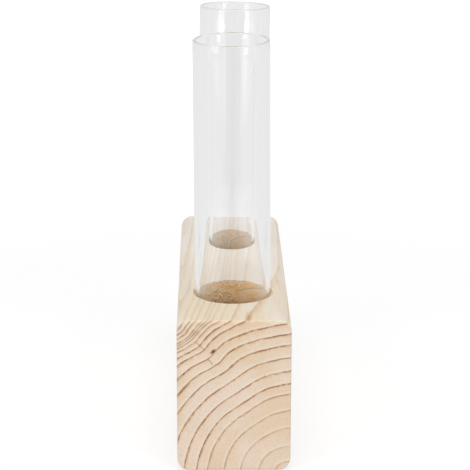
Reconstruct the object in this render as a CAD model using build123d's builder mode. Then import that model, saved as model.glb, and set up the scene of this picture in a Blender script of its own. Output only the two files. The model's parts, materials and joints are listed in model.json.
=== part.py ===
"""Test tube vase: a softwood block with two blind holes, and a round-bottomed glass tube standing loose in each.

Millimetres. +Z is up, and the block stands on Z = 0 with the origin under its centre.
+Y runs along the block, from the front end to the rear end.
"""

import os
from math import atan, cos, degrees, radians, sin, tan

from build123d import *

# Block
block_width = 44.0
block_height = 61.5
block_length = 148.0
long_edge_radius = 5.0
end_edge_ease = 1.0

# Glass tubes
tube_diameter = 30.0
tube_length = 150.0
tube_wall = 1.5

# Holes for the tubes, with the mark that the drill's centre point leaves in each floor
hole_end_distance = 36.5
hole_depth = 48.5
hole_clearance = 0.7
hole_mouth_ease = 0.4
point_mark_radius = 1.5
point_mark_depth = 1.2
tube_seat_gap = 0.2

# How each tube leans in its hole: a share of the most that the clearance allows, and the heading of its top in
# degrees from +X towards +Y
front_lean_share = 0.32
front_lean_heading = 236.0
rear_lean_share = 0.92
rear_lean_heading = 68.5

# Worked out from the sizes above
tube_radius = tube_diameter / 2
tube_bore_radius = tube_radius - tube_wall
rim_radius = tube_wall / 2
rim_height = tube_length - tube_radius - rim_radius
hole_radius = tube_radius + hole_clearance
hole_spacing = block_length - 2 * hole_end_distance
hole_floor = block_height - hole_depth
front_hole_y = -hole_spacing / 2
rear_hole_y = hole_spacing / 2
tube_ball_height = hole_floor + tube_seat_gap + tube_radius
held_length = block_height - tube_ball_height
most_lean = atan(2 * hole_clearance / held_length)


def tube_plane(hole_y, lean_share, lean_heading):
    """The plane of a tube's profile, with its origin at the centre of the round bottom and Y along the tube."""
    lean = lean_share * most_lean
    heading = radians(lean_heading)
    slip = tan(lean) * held_length / 2
    ball_centre = Vector(-cos(heading) * slip, hole_y - sin(heading) * slip, tube_ball_height)
    axis = Vector(cos(heading) * sin(lean), sin(heading) * sin(lean), cos(lean))
    sideways = Vector(-sin(heading), cos(heading), 0)
    return Plane(origin=ball_centre, x_dir=sideways, z_dir=sideways.cross(axis))


def make_tube(plane, label):
    """A tube of one even wall, with a half-ball bottom and a rim that a flame has rounded over."""
    with BuildPart() as tube:
        with BuildSketch(plane):
            with BuildLine():
                CenterArc((0, 0), tube_radius, -90, 90)
                Line((tube_radius, 0), (tube_radius, rim_height))
                CenterArc((tube_radius - rim_radius, rim_height), rim_radius, 0, 180)
                Line((tube_bore_radius, rim_height), (tube_bore_radius, 0))
                CenterArc((0, 0), tube_bore_radius, 0, -90)
                Line((0, -tube_bore_radius), (0, -tube_radius))
            make_face()
        revolve(axis=Axis(plane.origin, plane.y_dir))
    tube.part.label = label
    return tube


# Wood block: one length of timber with rounded long edges, eased ends and two blind holes in a row
with BuildPart() as block:
    with BuildSketch(Plane.XZ):
        with Locations((0, block_height / 2)):
            RectangleRounded(block_width, block_height, long_edge_radius)
    extrude(amount=block_length / 2, both=True)
    chamfer(block.faces().filter_by(Axis.Y).edges(), end_edge_ease)
    with BuildSketch(Plane.XY.offset(block_height)):
        with Locations((0, front_hole_y), (0, rear_hole_y)):
            Circle(hole_radius)
    extrude(amount=-hole_depth, mode=Mode.SUBTRACT)
    mouths = block.faces().sort_by(Axis.Z)[-1].edges().filter_by(GeomType.CIRCLE)
    chamfer(mouths, hole_mouth_ease)
    with Locations((0, front_hole_y, hole_floor), (0, rear_hole_y, hole_floor)):
        Cone(0, point_mark_radius, point_mark_depth, align=(Align.CENTER, Align.CENTER, Align.MAX), mode=Mode.SUBTRACT)
block.part.label = "wood_block"

# Test tubes
front_plane = tube_plane(front_hole_y, front_lean_share, front_lean_heading)
rear_plane = tube_plane(rear_hole_y, rear_lean_share, rear_lean_heading)
front_tube = make_tube(front_plane, "front_test_tube")
rear_tube = make_tube(rear_plane, "rear_test_tube")

# One file for each piece
os.makedirs("parts", exist_ok=True)
for piece in (block, front_tube, rear_tube):
    export_step(piece.part, f"parts/{piece.part.label}.step")

print(f"most lean that the clearance allows: {degrees(most_lean):.3f} degrees")
for name, plane in (("front", front_plane), ("rear", rear_plane)):
    print(f"{name} tube: ball centre {tuple(plane.origin)}, axis {tuple(plane.y_dir)}")
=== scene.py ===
"""Test tube vase: the looks of the wooden block and of its two glass tubes, in a plain white studio.

Metres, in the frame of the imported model: +Z up, +Y from the front end to the rear end, and the origin under
the block's centre. The patterns in the wood are written in millimetres, and angles in degrees. A value whose
name ends in _step holds where a gradual change starts and ends and, unless the change is from 0 to 1, the two
values that it leads from and to.
"""

import json
from collections import namedtuple
from math import atan2, ceil, cos, hypot, pi, radians, sin

import bmesh
import bpy
from mathutils import Matrix, Vector, noise


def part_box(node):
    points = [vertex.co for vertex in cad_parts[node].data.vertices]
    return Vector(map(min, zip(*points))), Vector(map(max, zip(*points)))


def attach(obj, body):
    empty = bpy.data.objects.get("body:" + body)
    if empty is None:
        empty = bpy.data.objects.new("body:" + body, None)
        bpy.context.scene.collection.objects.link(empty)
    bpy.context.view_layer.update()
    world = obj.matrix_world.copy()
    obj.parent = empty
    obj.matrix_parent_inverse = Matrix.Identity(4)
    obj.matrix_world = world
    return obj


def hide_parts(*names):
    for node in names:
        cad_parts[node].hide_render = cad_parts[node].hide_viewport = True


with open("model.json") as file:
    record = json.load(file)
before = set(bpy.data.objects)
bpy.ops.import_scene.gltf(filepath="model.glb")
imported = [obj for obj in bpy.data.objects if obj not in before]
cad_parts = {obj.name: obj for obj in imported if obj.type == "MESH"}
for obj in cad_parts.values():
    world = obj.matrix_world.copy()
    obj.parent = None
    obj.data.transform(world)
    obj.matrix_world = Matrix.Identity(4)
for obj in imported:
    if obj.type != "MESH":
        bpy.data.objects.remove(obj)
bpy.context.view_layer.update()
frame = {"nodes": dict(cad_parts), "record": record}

mm = 0.001
half_turn = 180.0

# Block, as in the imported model
block_low, block_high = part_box("wood_block")
block_top = block_high.z
block_end = block_high.y
block_side = block_high.x
edge_radius = 5.0 * mm
edge_steps = 14
end_ease = 1.0 * mm
end_ease_steps = 6
flat_half_width = block_side - edge_radius

# Holes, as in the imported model
hole_end_distance = 36.5 * mm
hole_places = (hole_end_distance - block_end, block_end - hole_end_distance)
hole_radius = 15.7 * mm
hole_depth = 48.5 * mm
mouth_ease = 0.4 * mm
mouth_ease_steps = 4
point_mark_radius = 1.5 * mm
point_mark_depth = 1.2 * mm

# How far the drill tore the wood of the holes' walls: fine grain, a fractal noise with that increment,
# lacunarity and number of octaves, and larger chips, which are this many times wider than high
torn_grain_depth = 0.30 * mm
torn_grain_size = 1.6 * mm
torn_grain_fractal = (0.8, 2.0, 3)
torn_chip_depth = 0.30 * mm
torn_chip_size = 1.1 * mm
torn_chip_flatness = 1.3
# The tearing grows over the first of these depths below the mouth, and fades over the second above the floor
torn_growth = 0.8 * mm
torn_fade = 1.0 * mm

# Mesh spacing on the block
column_spacing = 0.5 * mm
open_spacing = 4.0 * mm
patch_rings = 3
torn_rows_depth = 16.0 * mm
torn_row_spacing = 0.4 * mm
deep_row_spacing = 2.0 * mm
floor_ring_share = 0.6
# Places closer together than these are one place, and vertices are one vertex
same_place_distance = column_spacing / 10
weld_distance = column_spacing / 50
# Even spacing may be this much wider than asked, and a face that looks this squarely along an axis is flat
spacing_slack_share = 0.001
flat_face_share = 0.99999

# Tubes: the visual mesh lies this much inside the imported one
tube_segments = 160
tube_ball_steps = 20
tube_rim_steps = 12
tube_wall_spacing = 6.0 * mm
tube_inset = 0.01 * mm

# Camera, fitted to the block's edges and the tubes' outlines in the photo
camera_place = Vector((-9.626, -743.938, 290.690)) * mm
camera_pitch = radians(16.249)
camera_yaw = radians(0.839)
camera_roll = radians(0.148)
camera_lens = 142.75
camera_clip = (0.01, 100.0)

# Soft lamps: each one's name, place, the point that it faces, width, height and brightness per area
lamps = (
    ("left_softbox", (-0.65, -0.60, 0.40), (0, 0, 0.07), 0.35, 0.8, 2.5),
    ("right_softbox", (0.60, -0.70, 0.40), (0, 0, 0.07), 0.25, 0.8, 3.3),
    ("top_softbox", (0, -0.20, 1.05), (0, 0, 0.06), 0.8, 0.8, 2.3),
)

# White surroundings: the light on the wood, and how bright the glass shows them, level with it and far above
world_light = 0.52
glass_paper_light = 0.85
ceiling_light = 0.22
ceiling_rise = (0.15, 0.6)

# Paper under and behind the vase. Where the camera sees it straight it is bleached, and it glows with a
# strength that grows from near the vase to far away
paper_reach = 12.0
paper_drop = 0.02 * mm
paper_colour = (0.8, 0.8, 0.8, 1)
bleached_colour = (0.4, 0.4, 0.4, 1)
white = (1, 1, 1, 1)
paper_glow = (0.62, 0.86)
paper_glow_distance = (0.2, 0.6)

# In the glass, the paper shows painted light: it glows duller straight ahead of the vase and brighter to both
# sides, by the heading
gap_light = 0.765
gap_heading = (33, 39)
side_light = 1.08
side_heading = (66, 82)
# Painted sheets of light lie on the paper to both sides, beyond a slanting line, and dimmer on the left
gleam_light = 1.5
gleam_start = 0.58
gleam_slope = -0.30
gleam_edge = (-0.02, 0.02)
gleam_left_share = 0.65
gleam_sides = (-0.1, 0.1)
# Two more lie close to the vase, and the left one starts nearer by the shift
near_light = 1.40
near_start = (0.24, 0.28)
near_end = (0.375, 0.355)
near_heading = (78, 64)
near_left_shift = 0.03
near_sides = (-0.05, 0.05)
# The last lies straight ahead of it
gap_near_light = 1.15
gap_near_start = (0.25, 0.28)
gap_near_end = (0.385, 0.365)


# Nodes

# Where a mix node has its share and its two values, and where it has the result
colour_mix_sockets = ((0, 6, 7), 2)
value_mix_sockets = ((0, 2, 3), 0)


class Nodes:
    """Short calls that add nodes to a material or world and return what carries the result."""

    def __init__(self, owner):
        owner.use_nodes = True
        self.tree = owner.node_tree
        self.tree.nodes.clear()

    def add(self, kind, *values, **settings):
        """A node with those settings, whose inputs take the values in order. None leaves one as it is."""
        node = self.tree.nodes.new(kind)
        for name, value in settings.items():
            setattr(node, name, value)
        for socket, value in zip([s for s in node.inputs if s.enabled], values):
            self.feed(socket, value)
        return node

    def named(self, kind, inputs):
        """A node whose inputs of those names take the values."""
        node = self.tree.nodes.new(kind)
        for name, value in inputs.items():
            self.feed(node.inputs[name], value)
        return node

    def feed(self, socket, value):
        """Links a socket to the input, or sets a plain value on it."""
        if isinstance(value, bpy.types.NodeSocket):
            self.tree.links.new(value, socket)
        elif value is not None:
            socket.default_value = value

    def math(self, operation, *values, clamp=False):
        return self.add("ShaderNodeMath", *values, operation=operation, use_clamp=clamp).outputs[0]

    def plus(self, first, second):
        return self.math("ADD", first, second)

    def minus(self, first, second):
        return self.math("SUBTRACT", first, second)

    def times(self, first, second):
        return self.math("MULTIPLY", first, second)

    def over(self, first, second, clamp=False):
        return self.math("DIVIDE", first, second, clamp=clamp)

    def distance(self, across, up):
        """How far a place is that lies that far across and that far up."""
        return self.math("SQRT", self.plus(self.times(across, across), self.times(up, up)))

    def vector(self, operation, *values, result="Vector"):
        return self.add("ShaderNodeVectorMath", *values, operation=operation).outputs[result]

    def separate(self, vector):
        return self.add("ShaderNodeSeparateXYZ", vector).outputs

    def coordinates(self, kind):
        return self.add("ShaderNodeTexCoord").outputs[kind]

    def ease(self, value, start, end, low=0.0, high=1.0):
        """A smooth step from low at start to high at end."""
        if start > end:
            start, end, low, high = end, start, high, low
        node = self.add("ShaderNodeMapRange", value, start, end, low, high, interpolation_type="SMOOTHSTEP")
        return node.outputs[0]

    def line(self, value, start, end, low=0.0, high=1.0):
        """A straight step from low at start to high at end, held at both ends."""
        node = self.add("ShaderNodeMapRange", value, start, end, low, high, interpolation_type="LINEAR")
        return node.outputs[0]

    def noise(self, point, pattern):
        """The pattern's noise at the point, from 0 to 1."""
        place = self.vector("MULTIPLY", point, pattern.scales)
        place = self.vector("ADD", place, (pattern.shift,) * 3)
        node = self.named("ShaderNodeTexNoise", {"Vector": place, "Scale": 1 / pattern.size,
                                                 "Detail": pattern.detail, "Roughness": pattern.roughness})
        return node.outputs["Fac"]

    def mix(self, share, first, second, data_type="RGBA", sockets=colour_mix_sockets):
        """A mix of two colours, first at share 0."""
        node = self.add("ShaderNodeMix", data_type=data_type)
        places, result = sockets
        for place, value in zip(places, (share, first, second)):
            self.feed(node.inputs[place], value)
        return node.outputs[result]

    def mix_values(self, share, first, second):
        """A mix of two plain values, first at share 0."""
        return self.mix(share, first, second, "FLOAT", value_mix_sockets)

    def curve(self, value, points):
        """A curve through the points, straight between them, for values from 0 to 1."""
        node = self.add("ShaderNodeFloatCurve", None, value)
        curve = node.mapping.curves[0]
        curve.points[0].location = points[0]
        curve.points[1].location = points[-1]
        for x, y in points[1:-1]:
            curve.points.new(x, y)
        for point in curve.points:
            point.handle_type = "VECTOR"
        node.mapping.update()
        return node.outputs[0]

    def steps(self, value, colours):
        """The colour of the step that the value from 0 to 1 lies in, all steps being equally wide."""
        node = self.add("ShaderNodeValToRGB", value)
        ramp = node.color_ramp
        ramp.interpolation = "CONSTANT"
        ramp.elements.remove(ramp.elements[1])
        ramp.elements[0].color = (*colours[0], 1)
        for i, colour in enumerate(colours[1:], 1):
            ramp.elements.new(i / len(colours)).color = (*colour, 1)
        return node.outputs[0]


def linear(red, green, blue):
    """A colour written as the 0 to 255 values of a screen, as the linear values that a shader takes."""
    colour = [c / 255 for c in (red, green, blue)]
    return tuple(c / 12.92 if c <= 0.04045 else ((c + 0.055) / 1.055) ** 2.4 for c in colour) + (1.0,)


# Noise in the wood: a factor on each direction of the place, which draws the features out where it is below
# 1, their size, how much detail they have and how rough that is, and a shift that keeps each noise apart
Pattern = namedtuple("Pattern", "scales size detail roughness shift")
wander_noise = Pattern((1, 0.12, 1), 16, 2.0, 0.5, 0)
ripple_noise = Pattern((1, 0.2, 1), 3.5, 2.0, 0.5, 23)
thickness_noise = Pattern((1, 0.15, 1), 7, 2.0, 0.5, 57)
frayed_noise = Pattern((1, 1, 1), 0.8, 2.0, 0.5, 91)
cloud_noise = Pattern((1, 0.25, 1), 16, 2.0, 0.5, 40)
patch_noise = Pattern((1, 0.2, 1), 2.6, 3.0, 0.5, 80)
broken_noise = Pattern((1, 0.3, 1), 1.8, 3.0, 0.5, 11)
pore_noise = Pattern((1, 0.2, 1), 0.38, 2.0, 0.6, 0)
grain_noise = Pattern((1, 0.2, 1), 0.9, 3.0, 0.65, 31)
fibre_noise = Pattern((1, 0.025, 1), 0.5, 3.0, 0.6, 0)
torn_grain_noise = Pattern((1, 0.6, 1), 0.6, 1.0, 0.5, 0)
torn_patch_noise = Pattern((1, 1, 1), 5, 1.0, 0.5, 67)
torn_chip_noise = Pattern((1, 0.5, 1.4), 3.2, 3.0, 0.6, 7)
middle_noise = 0.5


# Ring field

# Growth rings on the front end, from the pith; the last ones lie outside the block's corner
pith_x = 22.3
pith_z = -2.1
ring_radii = (6.1, 12.3, 19.9, 27.3, 34.1, 38.4, 43.5, 48.9, 54.0, 58.5, 62.7, 66.7, 69.2, 71.5, 73.1, 74.1,
              75.0, 76.9, 78.4, 80.2, 82.4, 84.2, 86.0, 88.0)
ring_reach = 90.0
# How far the rings are drawn in towards the pith, as a share of their radius, by the angle from the pith
draw_in_shares = ((90, 0.0), (95, 0.009), (100, 0.018), (105, 0.026), (110, 0.039), (115, 0.055),
                  (120, 0.066), (125, 0.071), (130, 0.065), (140, 0.057), (150, 0.050), (160, 0.045),
                  (170, 0.040), (180, 0.034))
draw_in_most = 0.08
draw_in_radii = (8, 30)
# The kink that only the outer rings have, as a share of their radius outwards, and how much stays deeper in
kink_shares = ((90, 0.0), (100, 0.003), (106, 0.010), (110, 0.017), (112, 0.023), (115, 0.028),
               (117, 0.025), (119, 0.020), (121, 0.0105), (122.2, 0.004), (123.4, 0.0), (125, 0.0),
               (127, 0.002), (129, 0.006), (131, 0.012), (134, 0.013), (139, 0.011), (148, 0.0), (180, 0.0))
kink_radii = (40, 62)
kink_depths = (45, 0)
kink_deep_share = 0.25
# The kink lies this many degrees further round for each millimetre beyond the radius that it is written for
kink_turn = 0.25
kink_radius = 62.0
# A curve's values lie between 0 and 1, so the kink is scaled and moved to fit in, and back again
kink_offset = 0.5
kink_scale = 10.0
# The swell outside the radii below, as a share of the radius, which fades out from one angle to the other
swell_share = 0.012
swell_radii = (62.5, 66.0)
swell_angles = (116.0, 104.0)
# The innermost rings have their centre this much further left
inner_shift = 1.0
inner_radii = (12, 30)
# Going in from the front end, the rings draw closer to the pith, at first by up to this much and then evenly
taper_most = 2.8
taper_depth = 60.0
taper_slope = 0.015
# They also wander, more so deeper in, and ripple
wander_most = 2.2
wander_depth = 60
ripple_most = 0.5


def ring_field(nodes, point):
    """The ring radius at the point, as if straight above the pith on the front end, and how deep it lies."""
    x, y, z = nodes.separate(point)
    depth = nodes.plus(y, block_end / mm)
    across = nodes.minus(x, pith_x)
    up = nodes.minus(z, pith_z)
    across = nodes.plus(across, nodes.ease(nodes.distance(across, up), *inner_radii, inner_shift, 0.0))
    radius = nodes.distance(across, up)
    turn = nodes.over(nodes.math("ARCTAN2", up, across), pi)

    draw_in = nodes.curve(turn, [(0, 0)] + [(a / half_turn, s / draw_in_most) for a, s in draw_in_shares])
    draw_in = nodes.times(draw_in, nodes.ease(radius, *draw_in_radii, 0.0, draw_in_most))
    turned = nodes.times(nodes.minus(radius, kink_radius), kink_turn / half_turn)
    kink_points = [(a / half_turn, kink_offset + s * kink_scale) for a, s in kink_shares]
    kink = nodes.curve(nodes.minus(turn, turned), [(0, kink_offset)] + kink_points)
    kink = nodes.over(nodes.minus(kink, kink_offset), kink_scale)
    kink_fade = nodes.ease(depth, *kink_depths, kink_deep_share, 1.0)
    kink = nodes.times(kink, nodes.times(nodes.ease(radius, *kink_radii), kink_fade))
    swell = nodes.times(nodes.ease(radius, *swell_radii, 0.0, swell_share),
                        nodes.ease(nodes.times(turn, half_turn), *swell_angles))
    shape = nodes.plus(nodes.plus(nodes.minus(1.0, draw_in), kink), swell)
    rings = nodes.over(radius, shape)

    taper = nodes.minus(1.0, nodes.math("EXPONENT", nodes.over(depth, -taper_depth)))
    taper = nodes.plus(nodes.times(taper, taper_most), nodes.times(depth, taper_slope))
    wander = nodes.minus(nodes.noise(point, wander_noise), middle_noise)
    wander = nodes.times(wander, nodes.line(depth, 0, wander_depth, 0.0, wander_most))
    ripple = nodes.times(nodes.minus(nodes.noise(point, ripple_noise), middle_noise), ripple_most)
    return nodes.plus(nodes.plus(rings, taper), nodes.plus(wander, ripple)), depth


# Ring lines

# How dark each latewood line is, out to each radius in turn: the inner ones get fainter towards the pith
faint_radius = 36
faint_line_share = 0.20
faint_rise_share = 0.50
line_shares = ((56, 0.95), (71, 1.0), (ring_reach, 0.64))
# How warm the band before each line is, out to each radius in turn
band_shares = ((36, 0.4), (56, 0.65), (67, 1.0), (ring_reach, 0.7))
# How thick the lines are, which varies along them and grows to the left
thickness_step = (0.35, 0.65, 0.75, 1.35)
thickness_left_step = (-8, -20, 1.0, 1.3)
# How far before the end of its ring a line starts and is fully dark, times its thickness
line_step = (0.80, 0.15)
# How wide the warm band is, as a share of its ring and at most, and the power by which it fades
band_width_share = 0.75
band_width_most = 2.3
band_power = 1.6
# Where the palest wood starts and ends, right after a line
fresh_start_step = (0.15, 0.45, 0.0, 1.0)
fresh_end_step = (0.5, 1.5, 1.0, 0.0)
# A colour carries the ring's width as a share of this
width_scale = 10.0


def share_at(radius, shares):
    """The first of the shares whose rings reach out to that radius."""
    return next(share for reach, share in shares if radius <= reach)


def line_share(radius):
    """How dark the latewood line of the ring at that radius is."""
    if radius < faint_radius:
        return faint_line_share + faint_rise_share * radius / faint_radius
    return share_at(radius, line_shares)


def ring_lines(nodes, field, point):
    """How dark the latewood line, how warm the band before it and how pale the wood after it are."""
    starts = (0.0,) + ring_radii
    ends = ring_radii + (ring_reach,)
    count = len(ends)
    phase_points = [(r / ring_reach, i / count) for i, r in enumerate(starts)] + [(1.0, 1.0)]
    steps = nodes.times(nodes.curve(nodes.over(field, ring_reach), phase_points), count)
    within = nodes.math("FRACT", steps)
    middle = nodes.over(nodes.plus(nodes.math("FLOOR", steps), 0.5), count)
    colours = [((end - start) / width_scale, line_share(end), share_at(end, band_shares))
               for start, end in zip(starts, ends)]
    ring = nodes.add("ShaderNodeSeparateColor", nodes.steps(middle, colours))
    width_of_ring, line_of_ring, band_of_ring = ring.outputs
    width = nodes.times(width_of_ring, width_scale)

    ahead = nodes.times(nodes.minus(1.0, within), width)
    thick = nodes.ease(nodes.noise(point, thickness_noise), *thickness_step)
    thick = nodes.times(thick, nodes.ease(nodes.separate(point)[0], *thickness_left_step))
    line = nodes.times(nodes.ease(nodes.over(ahead, thick), *line_step), line_of_ring)
    band_width = nodes.math("MINIMUM", nodes.times(width, band_width_share), band_width_most)
    band = nodes.minus(1.0, nodes.over(ahead, band_width, clamp=True))
    band = nodes.times(nodes.math("POWER", band, band_power), band_of_ring)
    behind = nodes.times(within, width)
    fresh = nodes.times(nodes.ease(behind, *fresh_start_step), nodes.ease(behind, *fresh_end_step))
    return line, band, fresh


# Marks

# How frayed a mark's edge is, and the share of its reach that has its full strength
frayed_step = (0.3, 0.7, 0.7, 1.3)
mark_core_share = 0.25


def near_line(nodes, point, x, z, start, end, reach):
    """1 along the straight line from start to end, easing to 0 at about that reach from it."""
    length = hypot(end[0] - start[0], end[1] - start[1])
    way = ((end[0] - start[0]) / length, (end[1] - start[1]) / length)
    across = nodes.minus(x, start[0])
    up = nodes.minus(z, start[1])
    along = nodes.plus(nodes.times(across, way[0]), nodes.times(up, way[1]))
    along = nodes.math("MINIMUM", nodes.math("MAXIMUM", along, 0.0), length)
    across = nodes.minus(across, nodes.times(along, way[0]))
    up = nodes.minus(up, nodes.times(along, way[1]))
    frayed = nodes.ease(nodes.noise(point, frayed_noise), *frayed_step)
    return nodes.ease(nodes.times(nodes.distance(across, up), frayed), reach, reach * mark_core_share)


# Planed wood

end_earlywood = linear(229, 211, 193)
end_earlywood_warm = linear(224, 203, 177)
end_fresh = linear(238, 221, 202)
end_band = linear(222, 162, 96)
end_line = linear(128, 80, 38)
end_speck = linear(196, 182, 168)
end_scar = linear(84, 48, 28)
end_ray = linear(176, 116, 66)
long_earlywood = linear(233, 224, 212)
long_earlywood_warm = linear(231, 216, 194)
long_pale = linear(240, 233, 224)
long_band = linear(228, 196, 152)
long_line = linear(200, 164, 124)
long_streak = linear(186, 132, 80)

# How squarely a face looks along the block: long grain gives way to end grain over this step
end_facing_step = (0.35, 0.8)
# Large clouds, and patches in which the warm bands and the lines are weaker
cloud_step = (0.35, 0.65)
patch_step = (0.40, 0.62, 0.3, 1.25)
broken_step = (0.34, 0.58, 0.45, 1.0)
# How strongly each colour shows on the ends
end_fresh_share = 0.5
end_band_share = 0.75
end_line_share = 0.92
warm_grain_step = (0.53, 0.66, 0.0, 0.42)
pale_grain_step = (0.46, 0.34, 0.0, 0.45)
pore_step = (0.60, 0.74)
pore_share = 0.22
# How strongly each colour shows on the long faces, from one depth to another
long_warm_step = (20, 120, 1.0, 0.3)
long_pale_step = (15, 140, 0.0, 0.9)
long_band_step = (0, 60, 0.7, 0.4)
long_line_step = (0, 60, 0.5, 0.3)
fibre_step = (0.45, 0.7, 0.0, 0.14)
# The height of the fibres and lines on the long faces, and of the pores and lines on the ends, as shares
long_relief_shares = (0.6, 0.4)
end_relief_shares = (0.5, 0.5)
# How strong the relief is and how high its full height is, how rough the wood is and how glossy
planed_relief = (0.35, 0.12 * mm)
planed_roughness = 0.52
pore_roughness = 0.12
planed_gloss = 0.4

# Marks on the front end: where each starts and ends as X and Z, its reach, its strength and its colour
end_marks = (
    ((-8.2, 48.9), (-7.7, 49.4), 0.78, 1.0, end_scar),
    ((-8.6, 48.5), (-7.3, 49.8), 1.05, 0.45, end_line),
    ((-9.9, 46.1), (-8.3, 43.9), 0.50, 0.5, end_ray),
    ((-11.5, 49.8), (-12.9, 51.4), 0.50, 0.4, end_ray),
    ((-12.9, 51.4), (-14.6, 52.8), 0.50, 0.35, end_ray),
)
end_mark_depth = 4
# The brown streak on the top, from the front edge, as X and depth, which fades out over its later part
streak_start = (5.2, -2.0)
streak_end = (6.0, 13.0)
streak_reach = 1.6
streak_share = 0.6
streak_fade_share = 1 / 3


def wood_point(nodes):
    """The place in the wood in millimetres."""
    return nodes.vector("MULTIPLY", nodes.coordinates("Object"), (1 / mm,) * 3)


def end_colour(nodes, point, depth, cloud, fresh, warm_band, dark_line, pores):
    """The colour of the ends, where the rings are cut across."""
    x, _, z = nodes.separate(point)
    colour = nodes.mix(cloud, end_earlywood, end_earlywood_warm)
    colour = nodes.mix(nodes.times(fresh, end_fresh_share), colour, end_fresh)
    colour = nodes.mix(nodes.times(warm_band, end_band_share), colour, end_band)
    colour = nodes.mix(nodes.times(dark_line, end_line_share), colour, end_line)
    grain = nodes.noise(point, grain_noise)
    colour = nodes.mix(nodes.ease(grain, *warm_grain_step), colour, end_band)
    colour = nodes.mix(nodes.ease(grain, *pale_grain_step), colour, end_speck)
    colour = nodes.mix(nodes.times(nodes.ease(pores, *pore_step), pore_share), colour, end_line)
    for start, end, reach, strength, tint in end_marks:
        mark = near_line(nodes, point, x, z, start, end, reach)
        mark = nodes.times(mark, nodes.ease(depth, 0, end_mark_depth, strength, 0.0))
        colour = nodes.mix(mark, colour, tint)
    return colour


def long_colour(nodes, point, depth, cloud, warm_band, dark_line, fibres):
    """The colour of the top, the sides and the underside, where the rings are drawn out into long grain."""
    warm = nodes.times(cloud, nodes.line(depth, *long_warm_step))
    colour = nodes.mix(warm, long_earlywood, long_earlywood_warm)
    colour = nodes.mix(nodes.line(depth, *long_pale_step), colour, long_pale)
    colour = nodes.mix(nodes.times(warm_band, nodes.line(depth, *long_band_step)), colour, long_band)
    colour = nodes.mix(nodes.times(dark_line, nodes.line(depth, *long_line_step)), colour, long_line)
    streak = near_line(nodes, point, nodes.separate(point)[0], depth, streak_start, streak_end, streak_reach)
    last = streak_end[1]
    streak = nodes.times(streak, nodes.line(depth, last * streak_fade_share, last, streak_share, 0.0))
    colour = nodes.mix(streak, colour, long_streak)
    return nodes.mix(nodes.ease(fibres, *fibre_step), colour, long_line)


def relief(nodes, height, strength, distance):
    """The surface's direction, tilted as if it had that height."""
    bump = {"Strength": strength, "Distance": distance, "Height": height}
    return nodes.named("ShaderNodeBump", bump).outputs[0]


def wood_material():
    """Planed and sanded softwood: rings at the ends, and long grain on the other faces."""
    material = bpy.data.materials.new("planed_softwood")
    nodes = Nodes(material)
    point = wood_point(nodes)
    field, depth = ring_field(nodes, point)
    line, band, fresh = ring_lines(nodes, field, point)
    cloud = nodes.ease(nodes.noise(point, cloud_noise), *cloud_step)
    warm_band = nodes.times(band, nodes.ease(nodes.noise(point, patch_noise), *patch_step))
    dark_line = nodes.times(line, nodes.ease(nodes.noise(point, broken_noise), *broken_step))
    pores = nodes.noise(point, pore_noise)
    fibres = nodes.noise(point, fibre_noise)

    facing = nodes.math("ABSOLUTE", nodes.separate(nodes.coordinates("Normal"))[1])
    facing_end = nodes.ease(facing, *end_facing_step)
    on_end = end_colour(nodes, point, depth, cloud, fresh, warm_band, dark_line, pores)
    on_long = long_colour(nodes, point, depth, cloud, warm_band, dark_line, fibres)
    fibre_share, long_line_share = long_relief_shares
    long_height = nodes.plus(nodes.times(fibres, fibre_share), nodes.times(line, long_line_share))
    pores_share, line_height_share = end_relief_shares
    end_height = nodes.plus(nodes.times(pores, pores_share), nodes.times(line, line_height_share))
    height = nodes.mix_values(facing_end, long_height, end_height)
    shader = nodes.named("ShaderNodeBsdfPrincipled", {
        "Base Color": nodes.mix(facing_end, on_long, on_end),
        "Roughness": nodes.plus(planed_roughness, nodes.times(pores, pore_roughness)),
        "Normal": relief(nodes, height, *planed_relief),
        "Specular IOR Level": planed_gloss,
    })
    nodes.named("ShaderNodeOutputMaterial", {"Surface": shader.outputs[0]})
    return material


# Drilled wood

torn_wood = linear(255, 230, 184)
torn_wood_warm = linear(255, 198, 130)
# The dark torn colour serves both for the dark fibres and for the painted shade deep in the holes
torn_wood_dark = linear(150, 82, 36)
shaved_wood = linear(255, 234, 204)

# How torn the wall is, by which way it faces, and in patches
torn_facing_step = (0.35, 0.85, 0.25, 1.0)
torn_patch_step = (0.40, 0.54, 0.35, 1.0)
# How strongly the colours of the chips, of the shaved walls to both sides and of the grains show
chip_step = (0.40, 0.62, 0.0, 0.6)
shaved_facing_step = (0.55, 0.9, 0.0, 0.9)
pale_torn_step = (0.53, 0.60)
dark_torn_step = (0.47, 0.40, 0.0, 0.5)
# By depth below the top, a hole's wall is pale and clean at its lip, and darkened with painted shade from
# further down, where less light reaches into the hole
lip_step = (2.5, 0.0, 0.0, 0.7)
painted_shade_step = (7.5, 12.0, 0.0, 0.4)
# The drill left a smooth part on the right, below a fine slanting ledge at this depth
smooth_step = (0.5, 3.0)
smooth_torn_share = 0.3
ledge_depth = 5.2
ledge_slope = 0.28
ledge_reach = 0.45
ledge_share = 0.4
# How strong the relief is and how high its full height is, how rough the wood is and how glossy
torn_relief = (0.6, 0.3 * mm)
torn_roughness = 0.85
torn_gloss = 0.2


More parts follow.
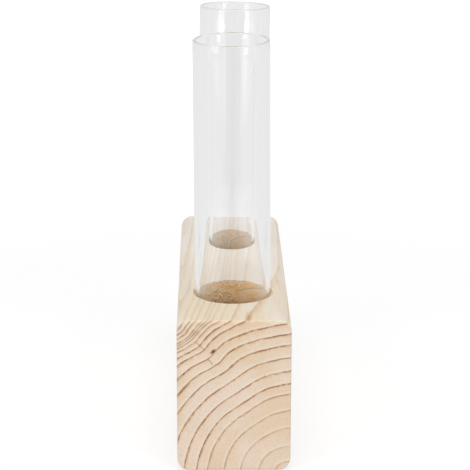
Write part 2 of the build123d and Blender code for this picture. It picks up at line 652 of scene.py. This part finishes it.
def torn_wood_material():
    """The walls and floors of the drilled holes: the same wood, rough, fibrous and darker, with painted shade
    deeper down.
    """
    material = bpy.data.materials.new("drilled_softwood")
    nodes = Nodes(material)
    point = wood_point(nodes)
    x, _, z = nodes.separate(point)
    down = nodes.minus(block_top / mm, z)
    to_side, to_end, _ = nodes.separate(nodes.coordinates("Normal"))

    right = nodes.ease(x, *smooth_step)
    off_ledge = nodes.minus(nodes.plus(down, nodes.times(x, ledge_slope)), ledge_depth)
    below = nodes.ease(off_ledge, -ledge_reach, ledge_reach)
    ledge = nodes.times(nodes.ease(nodes.math("ABSOLUTE", off_ledge), ledge_reach, 0.0), right)
    torn = nodes.ease(nodes.math("ABSOLUTE", to_end), *torn_facing_step)
    torn = nodes.times(torn, nodes.line(nodes.times(right, below), 0, 1, 1.0, smooth_torn_share))
    torn = nodes.times(torn, nodes.ease(nodes.noise(point, torn_patch_noise), *torn_patch_step))

    grains = nodes.noise(point, torn_grain_noise)
    chips = nodes.noise(point, torn_chip_noise)
    colour = nodes.mix(nodes.ease(chips, *chip_step), torn_wood_warm, torn_wood)
    shaved = nodes.ease(nodes.math("ABSOLUTE", to_side), *shaved_facing_step)
    colour = nodes.mix(shaved, colour, shaved_wood)
    colour = nodes.mix(nodes.times(nodes.ease(grains, *pale_torn_step), torn), colour, torn_wood)
    colour = nodes.mix(nodes.times(nodes.ease(grains, *dark_torn_step), torn), colour, torn_wood_dark)
    colour = nodes.mix(nodes.times(ledge, ledge_share), colour, torn_wood_dark)
    # Painted shade: the wall is darkened towards the depths of the hole
    colour = nodes.mix(nodes.ease(down, *painted_shade_step), colour, torn_wood_dark)
    colour = nodes.mix(nodes.ease(down, *lip_step), colour, torn_wood)
    shader = nodes.named("ShaderNodeBsdfPrincipled", {
        "Base Color": colour,
        "Roughness": torn_roughness,
        "Normal": relief(nodes, grains, *torn_relief),
        "Specular IOR Level": torn_gloss,
    })
    nodes.named("ShaderNodeOutputMaterial", {"Surface": shader.outputs[0]})
    return material


# Glass

# How strongly it bends light, its tint, how dense that is by the metre, and the colour of its shadow
glass_index = 1.474
glass_tint = (0.815, 0.82, 0.82, 1)
glass_density = 60.0
glass_shadow_colour = (0.99, 0.99, 0.99, 1)
# Light that is still inside after this many reflections goes straight on
trapped_depth = 2.5


def glass_material():
    """Clear glass, which lets the lamps' light through to the wood."""
    material = bpy.data.materials.new("clear_glass")
    nodes = Nodes(material)
    glass = nodes.named("ShaderNodeBsdfPrincipled", {
        "Base Color": white,
        "Roughness": 0.0,
        "IOR": glass_index,
        "Transmission Weight": 1.0,
    })
    clear = nodes.add("ShaderNodeBsdfTransparent", glass_shadow_colour)
    path = nodes.add("ShaderNodeLightPath").outputs
    trapped = nodes.math("GREATER_THAN", path["Glossy Depth"], trapped_depth)
    passes = nodes.math("MAXIMUM", path["Is Shadow Ray"], trapped)
    mixed = nodes.add("ShaderNodeMixShader", passes, glass.outputs[0], clear.outputs[0])
    absorbed = nodes.add("ShaderNodeVolumeAbsorption", glass_tint, glass_density)
    nodes.named("ShaderNodeOutputMaterial", {"Surface": mixed.outputs[0], "Volume": absorbed.outputs[0]})
    return material


# Meshes

def spread(start, end, spacing):
    """Even values from start to end, about that spacing apart."""
    count = max(1, ceil(abs(end - start) / spacing - spacing_slack_share))
    return [start + (end - start) * i / count for i in range(count + 1)]


def row_of(mesh, points):
    return [mesh.verts.new(p) for p in points]


def add_strip(mesh, first, second, smooth, slot=0):
    """Faces between two rows of vertices of the same length."""
    for i in range(len(first) - 1):
        face = mesh.faces.new((first[i], first[i + 1], second[i + 1], second[i]))
        face.smooth = smooth
        face.material_index = slot


def finished(mesh, name, materials):
    """The bmesh as an object in the scene, with those materials."""
    data = bpy.data.meshes.new(name)
    mesh.to_mesh(data)
    mesh.free()
    for material in materials:
        data.materials.append(material)
    obj = bpy.data.objects.new(name, data)
    bpy.context.scene.collection.objects.link(obj)
    return obj


# Block

def outline(inset):
    """The block's section as X and Z, clockwise from the right end of the flat top, drawn in on each side."""
    radius = edge_radius - inset
    middle_low = block_low.z + edge_radius
    middle_high = block_top - edge_radius
    corners = ((flat_half_width, middle_high, 90), (flat_half_width, middle_low, 0),
               (-flat_half_width, middle_low, -90), (-flat_half_width, middle_high, -180))
    points = []
    for x, z, start in corners:
        for i in range(edge_steps + 1):
            angle = radians(start - 90 * i / edge_steps)
            points.append((x + radius * cos(angle), z + radius * sin(angle)))
    return points


def stations():
    """Each place along Y with how far the section is drawn in there, rounding over the two ends."""
    rounding = []
    for i in range(end_ease_steps):
        angle = radians(90 * i / end_ease_steps)
        rounding.append((end_ease * cos(angle), end_ease * (1 - sin(angle))))
    near = -(block_end - end_ease)
    ys = []
    for hole_y in hole_places:
        low, high = hole_y - flat_half_width, hole_y + flat_half_width
        ys += spread(near, low, open_spacing) + spread(low, high, column_spacing)
        near = high
    ys += spread(near, block_end - end_ease, open_spacing)
    flat = [(y, 0.0) for i, y in enumerate(ys) if i == 0 or y - ys[i - 1] > same_place_distance]
    first = [(flat[0][0] - out, inset) for out, inset in rounding]
    last = [(flat[-1][0] + out, inset) for out, inset in reversed(rounding)]
    return first + flat + last


def over_hole(y):
    """True if that place along Y lies in the square patch round a hole."""
    return any(abs(y - hole_y) < flat_half_width for hole_y in hole_places)


def torn_depth(place, hole_y):
    """How far the drill tore the wall back at that place: most where it cuts straight across the fibres."""
    across = abs(place.y - hole_y) / hole_radius
    grain = 0.5 + 0.5 * noise.fractal(place / torn_grain_size, *torn_grain_fractal)
    chip_place = Vector((place.x, place.y, place.z * torn_chip_flatness)) / torn_chip_size
    chip = noise.voronoi(chip_place)[0][0]
    return across ** 2 * (torn_grain_depth * grain + torn_chip_depth * chip)


def circle(angles, radius, hole_y, z):
    """Points at those angles round a hole's axis."""
    return [Vector((radius * cos(a), hole_y + radius * sin(a), z)) for a in angles]


def torn_row(angles, hole_y, depth):
    """Points at those angles round a hole's rough wall, at that depth."""
    growth = min(1.0, (depth - mouth_ease) / torn_growth)
    fade = min(1.0, (hole_depth - depth) / torn_fade)
    row = []
    for a in angles:
        place = Vector((hole_radius * cos(a), hole_y + hole_radius * sin(a), block_top - depth))
        radius = hole_radius + growth * fade * torn_depth(place, hole_y)
        row.append(Vector((radius * cos(a), hole_y + radius * sin(a), place.z)))
    return row


def add_hole(mesh, hole_y):
    """The square patch of the top round one hole, its rounded mouth, its rough wall and its floor."""
    half = flat_half_width
    columns = spread(-half, half, column_spacing)[:-1]
    square = [(x, -half) for x in columns] + [(half, y) for y in columns]
    square += [(-x, half) for x in columns] + [(-half, -y) for y in columns]
    angles = [atan2(y, x) for x, y in square]
    mouth_radius = hole_radius + mouth_ease
    rows = []
    for i in range(patch_rings + 1):
        share = i / patch_rings
        row = []
        for (x, y), a in zip(square, angles):
            inward_x = (mouth_radius * cos(a) - x) * share
            inward_y = (mouth_radius * sin(a) - y) * share
            row.append(Vector((x + inward_x, hole_y + y + inward_y, block_top)))
        rows.append(row)
    for i in range(1, mouth_ease_steps + 1):
        turn = radians(90 * i / mouth_ease_steps)
        z = block_top - mouth_ease + mouth_ease * cos(turn)
        rows.append(circle(angles, mouth_radius - mouth_ease * sin(turn), hole_y, z))
    mouth_row = len(rows) - 1
    depths = spread(mouth_ease, torn_rows_depth, torn_row_spacing)[1:]
    depths += spread(torn_rows_depth, hole_depth, deep_row_spacing)[1:]
    rows += [torn_row(angles, hole_y, depth) for depth in depths]
    floor_row = len(rows) - 1
    floor = block_top - hole_depth
    for radius in (hole_radius * floor_ring_share, point_mark_radius):
        rows.append(circle(angles, radius, hole_y, floor))
    rings = [row_of(mesh, row) for row in rows]
    for i, (outer, inner) in enumerate(zip(rings, rings[1:])):
        slot = 1 if i >= mouth_row else 0
        smooth = patch_rings <= i < floor_row
        add_strip(mesh, outer + outer[:1], inner + inner[:1], smooth, slot)
    tip = mesh.verts.new((0, hole_y, floor - point_mark_depth))
    last = rings[-1] + rings[-1][:1]
    for a, b in zip(last, last[1:]):
        mesh.faces.new((a, b, tip)).material_index = 1


def make_block(materials):
    """The whole block as one closed mesh."""
    mesh = bmesh.new()
    columns = spread(flat_half_width, -flat_half_width, column_spacing)
    places = stations()
    sides, tops = [], []
    for y, inset in places:
        sides.append(row_of(mesh, [(x, y, z) for x, z in outline(inset)]))
        tops.append(row_of(mesh, [(x, y, block_top - inset) for x in columns]))
    for i in range(len(places) - 1):
        ease = places[i][1] > 0 or places[i + 1][1] > 0
        add_strip(mesh, sides[i], sides[i + 1], True)
        if not over_hole((places[i][0] + places[i + 1][0]) / 2):
            add_strip(mesh, tops[i + 1], tops[i], ease)
    for hole_y in hole_places:
        add_hole(mesh, hole_y)
    bmesh.ops.remove_doubles(mesh, verts=mesh.verts, dist=weld_distance)
    loose = [v for v in mesh.verts if not v.link_faces]
    bmesh.ops.delete(mesh, geom=loose, context="VERTS")
    open_edges = [e for e in mesh.edges if len(e.link_faces) == 1]
    bmesh.ops.holes_fill(mesh, edges=open_edges, sides=0)
    bmesh.ops.recalc_face_normals(mesh, faces=mesh.faces)
    for face in mesh.faces:
        if max(abs(c) for c in face.normal) > flat_face_share:
            face.smooth = False
    return finished(mesh, "block_of_softwood", materials)


# Tubes

def mount(name):
    return next(m for m in frame["record"]["mounts"] if m["name"] == name)


def tube_profile(outer, bore, length):
    """The tube's half section from the outside in: the radius, and the height above its ball's centre."""
    rim = (outer - bore) / 2
    points = []
    for i in range(tube_ball_steps + 1):
        angle = radians(90 * i / tube_ball_steps)
        points.append((outer * sin(angle), -outer * cos(angle)))
    points += [(outer, h) for h in spread(0, length, tube_wall_spacing)[1:]]
    for i in range(1, tube_rim_steps):
        angle = radians(180 * i / tube_rim_steps)
        points.append((outer - rim + rim * cos(angle), length + rim * sin(angle)))
    points += [(bore, h) for h in spread(length, 0, tube_wall_spacing)[:-1]]
    for i in range(tube_ball_steps + 1):
        angle = radians(90 * i / tube_ball_steps)
        points.append((bore * cos(angle), -bore * sin(angle)))
    return points


def packed_radius(node, centre, axis):
    """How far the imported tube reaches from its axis."""
    offsets = [v.co - centre for v in frame["nodes"][node].data.vertices]
    return max((offset - axis * offset.dot(axis)).length for offset in offsets)


def make_tube(name, node, bore_name, material):
    """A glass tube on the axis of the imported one, revolved finely enough for clean refraction."""
    bore = mount(bore_name)
    axis = Vector(bore["axis"]).normalized()
    length = bore["dims"]["length_mm"] * mm
    centre = Vector(bore["pos_m"]) - axis * length
    outer = packed_radius(node, centre, axis)
    profile = tube_profile(outer - tube_inset, bore["dims"]["r_mm"] * mm, length - tube_inset)
    side = axis.orthogonal().normalized()
    front = axis.cross(side)
    mesh = bmesh.new()
    rings = []
    for radius, height in profile:
        middle = centre + axis * height
        if radius < tube_inset:
            rings.append([mesh.verts.new(middle)] * (tube_segments + 1))
            continue
        ring = []
        for i in range(tube_segments):
            angle = 2 * pi * i / tube_segments
            ring.append(mesh.verts.new(middle + (side * cos(angle) + front * sin(angle)) * radius))
        rings.append(ring + ring[:1])
    for lower, upper in zip(rings, rings[1:]):
        for i in range(tube_segments):
            corners = list(dict.fromkeys((lower[i], lower[i + 1], upper[i + 1], upper[i])))
            mesh.faces.new(corners).smooth = True
    bmesh.ops.recalc_face_normals(mesh, faces=mesh.faces)
    return finished(mesh, name, [material])


# Studio

def light_in_glass(nodes):
    """How bright each place of the paper shows in the glass: painted sheets of light make the streaks down
    the tubes.
    """
    x, y, _ = nodes.separate(nodes.coordinates("Object"))
    aside = nodes.math("ABSOLUTE", x)
    ahead = nodes.times(y, -1.0)
    away = nodes.distance(x, y)
    heading = nodes.times(nodes.math("ARCTAN2", aside, ahead), half_turn / pi)

    beyond = nodes.minus(ahead, nodes.plus(gleam_start, nodes.times(aside, gleam_slope)))
    gleam = nodes.times(nodes.ease(beyond, *gleam_edge), nodes.ease(x, *gleam_sides, gleam_left_share, 1.0))
    more_light = nodes.line(gleam, 0, 1, side_light - glass_paper_light, gleam_light - glass_paper_light)
    level = nodes.times(nodes.ease(heading, *side_heading, 1.0, 0.0), more_light)
    level = nodes.plus(level, glass_paper_light)

    shifted = nodes.plus(away, nodes.ease(x, *near_sides, near_left_shift, 0.0))
    near = nodes.times(nodes.ease(shifted, *near_start), nodes.ease(away, *near_end))
    near = nodes.times(near, nodes.ease(heading, *near_heading))
    level = nodes.plus(level, nodes.times(near, nodes.minus(near_light, level)))

    gap = nodes.times(nodes.ease(away, *gap_near_start), nodes.ease(away, *gap_near_end))
    gap = nodes.line(gap, 0, 1, gap_light, gap_near_light)
    beside_gap = nodes.ease(heading, *gap_heading)
    return nodes.plus(gap, nodes.times(beside_gap, nodes.minus(level, gap)))


def make_floor():
    """White paper under and behind the vase, which looks bleached where it is seen straight."""
    mesh = bmesh.new()
    bmesh.ops.create_grid(mesh, x_segments=1, y_segments=1, size=paper_reach)
    bmesh.ops.translate(mesh, verts=mesh.verts, vec=(0, 0, -paper_drop))
    material = bpy.data.materials.new("white_paper")
    nodes = Nodes(material)
    path = nodes.add("ShaderNodeLightPath").outputs
    paper = nodes.add("ShaderNodeBsdfDiffuse", paper_colour)
    bleached = nodes.add("ShaderNodeBsdfDiffuse", bleached_colour)
    away = nodes.vector("LENGTH", nodes.coordinates("Object"), result="Value")
    glow = nodes.add("ShaderNodeEmission", white, nodes.ease(away, *paper_glow_distance, *paper_glow))
    seen = nodes.add("ShaderNodeAddShader", bleached.outputs[0], glow.outputs[0])
    in_glass = nodes.add("ShaderNodeEmission", white, light_in_glass(nodes))
    shown = paper
    for ray, shader in (("Camera", seen), ("Transmission", in_glass), ("Glossy", in_glass)):
        shown = nodes.add("ShaderNodeMixShader", path[f"Is {ray} Ray"], shown.outputs[0], shader.outputs[0])
    nodes.named("ShaderNodeOutputMaterial", {"Surface": shown.outputs[0]})
    floor = finished(mesh, "paper_floor", [material])


def make_world():
    """White surroundings, which light the object less than they show, with a darker ceiling in the glass."""
    world = bpy.data.worlds.new("white_studio")
    bpy.context.scene.world = world
    nodes = Nodes(world)
    path = nodes.add("ShaderNodeLightPath").outputs
    strength = nodes.line(path["Is Camera Ray"], 0, 1, world_light, 1.0)
    in_glass = nodes.math("MAXIMUM", path["Is Transmission Ray"], path["Is Glossy Ray"])
    rise = nodes.separate(nodes.coordinates("Generated"))[2]
    shown = nodes.ease(rise, *ceiling_rise, glass_paper_light, ceiling_light)
    strength = nodes.plus(strength, nodes.times(in_glass, nodes.minus(shown, strength)))
    background = nodes.add("ShaderNodeBackground", white, strength)
    nodes.named("ShaderNodeOutputWorld", {"Surface": background.outputs[0]})


def make_lamp(name, place, target, width, height, radiance):
    """A soft rectangular lamp that faces the target, with the given brightness per area."""
    data = bpy.data.lights.new(name, "AREA")
    data.shape = "RECTANGLE"
    data.size = width
    data.size_y = height
    data.energy = radiance * pi * width * height
    lamp = bpy.data.objects.new(name, data)
    lamp.location = place
    lamp.rotation_mode = "QUATERNION"
    lamp.rotation_quaternion = (Vector(target) - Vector(place)).to_track_quat("-Z", "Y")
    lamp.visible_camera = False
    bpy.context.scene.collection.objects.link(lamp)


def make_camera():
    """The photo's camera."""
    data = bpy.data.cameras.new("camera")
    data.lens = camera_lens
    data.clip_start, data.clip_end = camera_clip
    camera = bpy.data.objects.new("camera", data)
    turn = Matrix.Rotation(-camera_yaw, 4, "Z") @ Matrix.Rotation(pi / 2 - camera_pitch, 4, "X")
    camera.matrix_world = Matrix.Translation(camera_place) @ turn @ Matrix.Rotation(camera_roll, 4, "Z")
    bpy.context.scene.collection.objects.link(camera)
    bpy.context.scene.camera = camera


bpy.context.scene.view_settings.view_transform = "Standard"
make_camera()
make_world()
make_floor()
for lamp in lamps:
    make_lamp(*lamp)

block = make_block([wood_material(), torn_wood_material()])
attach(block, "block")
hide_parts("wood_block")

glass = glass_material()
for side in ("front", "rear"):
    tube = make_tube(f"{side}_glass_tube", f"{side}_test_tube", f"{side}_tube_bore", glass)
    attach(tube, f"{side}_tube")
    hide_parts(f"{side}_test_tube")
